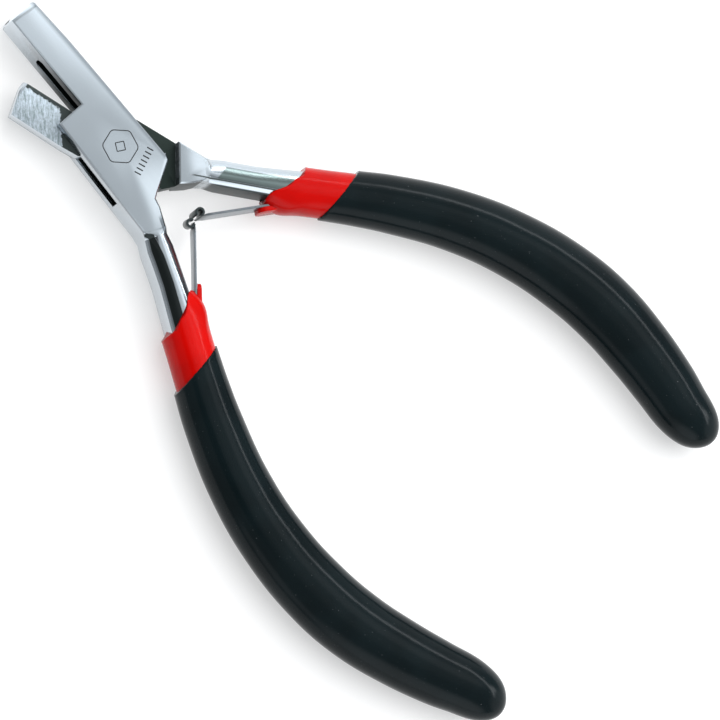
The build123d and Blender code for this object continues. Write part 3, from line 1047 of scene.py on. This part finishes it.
def etched_tick(along, settings):
    """One short line of the row under the outline."""
    deselect()
    bpy.ops.mesh.primitive_plane_add(size=MM, location=(0, 0, ETCH_FLOOR))
    tick = bpy.context.object
    settle(tick, "tick")
    edit(tick)
    bpy.ops.mesh.select_all(action="SELECT")
    bpy.ops.transform.resize(value=(TICK_LENGTH, settings.line / MM * TICK_WIDTH_SHARE, 1))
    bpy.ops.mesh.bevel(offset=0.05 * MM, segments=3, affect="VERTICES")
    bpy.ops.mesh.select_all(action="SELECT")
    bpy.ops.mesh.extrude_region_move(TRANSFORM_OT_translate={"value": (0, 0, ETCH_DEPTH * MM)})
    bpy.ops.mesh.select_all(action="SELECT")
    bpy.ops.transform.translate(value=(TICK_ROW_X * MM, along * MM, 0))
    bpy.ops.transform.rotate(value=-TICK_ROW_TURN, orient_axis="Z", center_override=(0, 0, 0))
    leave()
    outward(tick)
    return tick


class PLIERS_OT_stage(Operator):
    """Set the camera, the floor and the soft lights"""

    bl_idname = "pliers.stage"
    bl_label = "Stage"

    def execute(self, context):
        settings = context.scene.pliers_stage
        add_camera(settings)
        add_floor(settings)
        add_lights()
        set_world()
        context.scene.view_settings.view_transform = "Standard"
        return {"FINISHED"}


CAMERA_AZIMUTH = radians(67.77)
CAMERA_ELEVATION = radians(73)
CAMERA_TARGET = Vector((-51.8, -0.3, 3.9)) * MM
LAMP_AZIMUTH = radians(-110)
LAMP_ELEVATION = radians(70)
LAMP_DISTANCE = 1.4


def direction(azimuth, elevation):
    """A unit vector, from its azimuth from +X and its height over the floor."""
    flat = cos(elevation)
    return Vector((flat * cos(azimuth), flat * sin(azimuth), sin(elevation)))


def add_camera(settings):
    data = bpy.data.cameras.new("camera")
    data.lens = 300
    data.sensor_width = 36
    data.clip_start = 0.01
    data.clip_end = 20
    camera = bpy.data.objects.new("camera", data)
    bpy.context.scene.collection.objects.link(camera)
    back = direction(CAMERA_AZIMUTH, CAMERA_ELEVATION)
    aim = (-back).to_track_quat("-Z", "Y")
    camera.rotation_mode = "QUATERNION"
    camera.rotation_quaternion = aim @ Quaternion((0, 0, 1), settings.roll)
    camera.location = CAMERA_TARGET + back * settings.distance
    bpy.context.scene.camera = camera


def add_floor(settings):
    deselect()
    bpy.ops.mesh.primitive_plane_add(size=6, location=(0, 0, CAD_BOX[0].z - 0.05 * MM))
    floor = bpy.context.object
    settle(floor, "floor")
    floor.data.materials.append(floor_finish(settings.floor))


def add_lights():
    """One broad lamp overhead that lights the floor and the matt colours, and leaves no glint."""
    data = bpy.data.lights.new("overhead", "AREA")
    data.shape = "DISK"
    data.size = 1.6
    data.energy = 26
    lamp = bpy.data.objects.new("overhead", data)
    bpy.context.scene.collection.objects.link(lamp)
    away = direction(LAMP_AZIMUTH, LAMP_ELEVATION)
    lamp.location = CAMERA_TARGET + away * LAMP_DISTANCE
    lamp.rotation_mode = "QUATERNION"
    lamp.rotation_quaternion = away.to_track_quat("Z", "Y")
    lamp.visible_glossy = False


# What shines in the polish: azimuth and elevation in degrees, half width and softness, and brightness.
POOLS = (
    (-116, 60, 5, 11, 0.95),
    (-85, 80, 10, 26, 0.34),
    (-131, 29, 4, 5, 5.0),
    (-160, 10, 20, 18, 0.9),
    (-60, 10, 26, 22, 0.9),
    (121, 12, 12, 20, 1.5),
    (55, 56, 8, 7, -0.4),
    (82, 16, 5, 9, 0.8),
)
SURROUND = 0.36
DARKEST = 0.02
STRIP_AZIMUTH = radians(-110.7)
STRIP_ELEVATION = radians(39)
STRIP_GAIN = 9
STRIP_MIDDLE = direction(STRIP_AZIMUTH, STRIP_ELEVATION)
STRIP_AXIS = direction(STRIP_AZIMUTH, STRIP_ELEVATION - pi / 2)


def set_world():
    """A dim surround with soft pools of light, a narrow strip lamp and a black flag."""
    studio = Finish("studio", "worlds")
    bpy.context.scene.world = studio.material
    toward = studio.node("ShaderNodeTexCoord", output="Generated")

    def along(axis):
        values = {0: toward, 1: axis}
        return studio.node("ShaderNodeVectorMath", {"operation": "DOT_PRODUCT"}, values, "Value")

    brightness = SURROUND
    for azimuth, elevation, width, softness, gain in POOLS:
        near = along(direction(radians(azimuth), radians(elevation)))
        pool = near.rise(cos(radians(width + softness)), cos(radians(width)))
        brightness = gain * pool + brightness
    # The strip lamp lies across the tool: a thin band about a plane, cut off at its ends.
    strip = abs(along(STRIP_AXIS)).fall(0.02, 0.055)
    strip = strip * along(STRIP_MIDDLE).rise(cos(radians(40)), cos(radians(28)))
    brightness = (STRIP_GAIN * strip + brightness).at_least(DARKEST)
    values = {"Color": (0.93, 0.97, 1.0, 1), "Strength": brightness}
    shade = studio.node("ShaderNodeBackground", values=values)
    studio.node("ShaderNodeOutputWorld", values={"Surface": shade})


class PLIERS_PT_panel(Panel):
    """The pieces, in the order that they are built"""

    bl_idname = "PLIERS_PT_panel"
    bl_label = "Crimping pliers"
    bl_space_type = "VIEW_3D"
    bl_region_type = "UI"
    bl_category = "Pliers"

    def draw(self, context):
        for operator in BUILD_ORDER:
            self.layout.operator(operator.bl_idname)
        for name in SETTINGS:
            group = getattr(context.scene, name)
            for key in group.__annotations__:
                self.layout.prop(group, key)


BUILD_ORDER = (
    PLIERS_OT_stage,
    PLIERS_OT_steel_halves,
    PLIERS_OT_small_steel,
    PLIERS_OT_leaf_springs,
    PLIERS_OT_red_sleeves,
    PLIERS_OT_black_grips,
    PLIERS_OT_etched_mark,
)
SETTINGS = {
    "pliers_steel": SteelSettings,
    "pliers_spring": SpringSettings,
    "pliers_dip": DipSettings,
    "pliers_mark": MarkSettings,
    "pliers_stage": StageSettings,
}


def register():
    for group in SETTINGS.values():
        bpy.utils.register_class(group)
    for name, group in SETTINGS.items():
        setattr(bpy.types.Scene, name, PointerProperty(type=group))
    for operator in BUILD_ORDER:
        bpy.utils.register_class(operator)
    bpy.utils.register_class(PLIERS_PT_panel)


def unregister():
    bpy.utils.unregister_class(PLIERS_PT_panel)
    for operator in reversed(BUILD_ORDER):
        bpy.utils.unregister_class(operator)
    for name, group in SETTINGS.items():
        delattr(bpy.types.Scene, name)
        bpy.utils.unregister_class(group)


def main():
    register()
    bpy.ops.pliers.stage()
    bpy.ops.pliers.steel_halves()
    bpy.ops.pliers.small_steel()
    bpy.ops.pliers.leaf_springs()
    bpy.ops.pliers.red_sleeves()
    bpy.ops.pliers.black_grips()
    bpy.ops.pliers.etched_mark()


if __name__ == "__main__":
    main()
